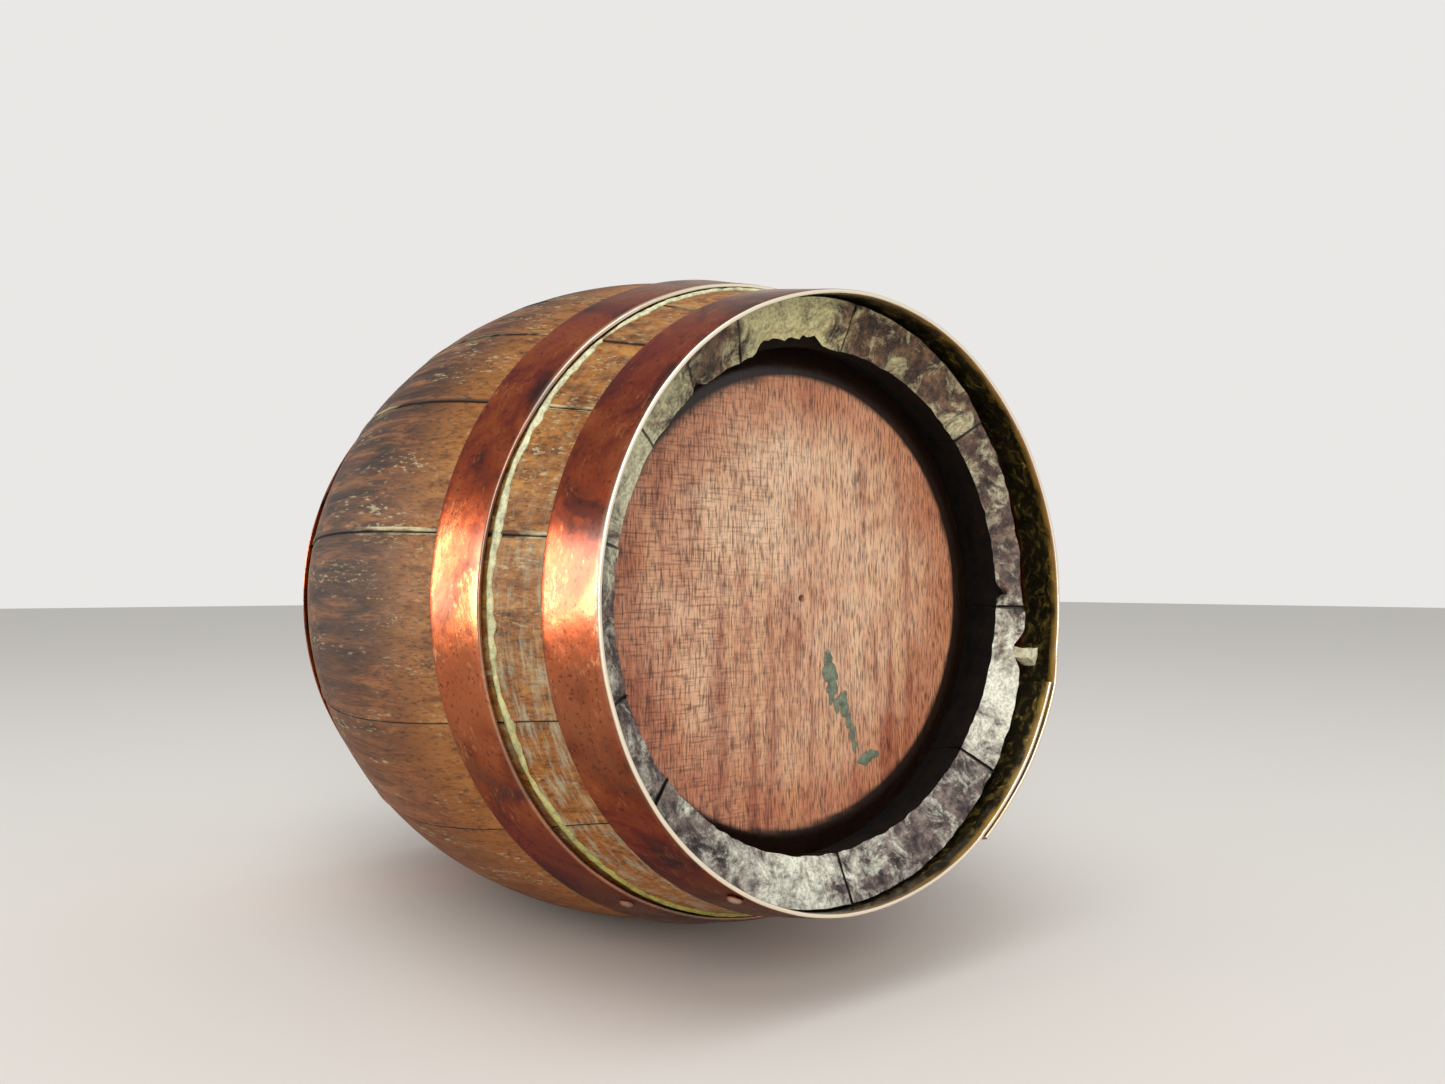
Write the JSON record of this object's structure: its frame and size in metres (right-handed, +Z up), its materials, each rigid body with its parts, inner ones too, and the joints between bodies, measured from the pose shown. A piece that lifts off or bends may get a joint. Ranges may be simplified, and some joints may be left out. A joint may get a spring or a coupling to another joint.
{
  "type": "oak wine barrel",
  "caption": "Small coopered oak keg lying on its bilge, with bent staves, recessed heads, riveted copper hoops and a tapered bung that pulls out.",
  "frame": {"origin": "on the floor under the middle of the keg's bilge, which is the middle of the underside of the overall box", "axes": "+Y along the keg's axis from the front head to the rear head, +Z up, +X to the right seen from the front"},
  "size_m": [0.234, 0.2616, 0.2341],
  "materials": {
    "oak": "dry, weathered, brown at mid length and tan beside the hoops",
    "head_wood": "planed, reddish brown, satin",
    "hoop_copper": "copper, hand-hammered, dark red-brown patina with bright worn edges",
    "rivet_copper": "copper, patinated, worn bright on the crown",
    "bung_wood": "turned, plain"
  },
  "bodies": {
    "keg": {"bung_stave": "oak", "stave_2": "oak", "stave_3": "oak", "stave_4": "oak", "stave_5": "oak", "stave_6": "oak", "stave_7": "oak", "stave_8": "oak", "stave_9": "oak", "stave_10": "oak", "stave_11": "oak", "front_head": "head_wood", "rear_head": "head_wood", "front_chime_hoop": "hoop_copper", "front_quarter_hoop": "hoop_copper", "rear_chime_hoop": "hoop_copper", "rear_quarter_hoop": "hoop_copper", "front_chime_rivet_1": "rivet_copper", "front_chime_rivet_2": "rivet_copper", "front_chime_lip_rivet": "rivet_copper", "front_quarter_rivet_1": "rivet_copper", "front_quarter_rivet_2": "rivet_copper", "front_quarter_nail": "rivet_copper", "rear_chime_rivet_1": "rivet_copper", "rear_chime_rivet_2": "rivet_copper", "rear_chime_lip_rivet": "rivet_copper", "rear_quarter_rivet_1": "rivet_copper", "rear_quarter_rivet_2": "rivet_copper", "rear_quarter_nail": "rivet_copper"},
    "bung": {"bung": "bung_wood"}
  },
  "joints": [
    {"name": "bung_slide", "type": "slide", "parent": "keg", "child": "bung", "axis": [0.3827, 0, 0.9239], "range_m": [0, 0.05]}
  ]
}
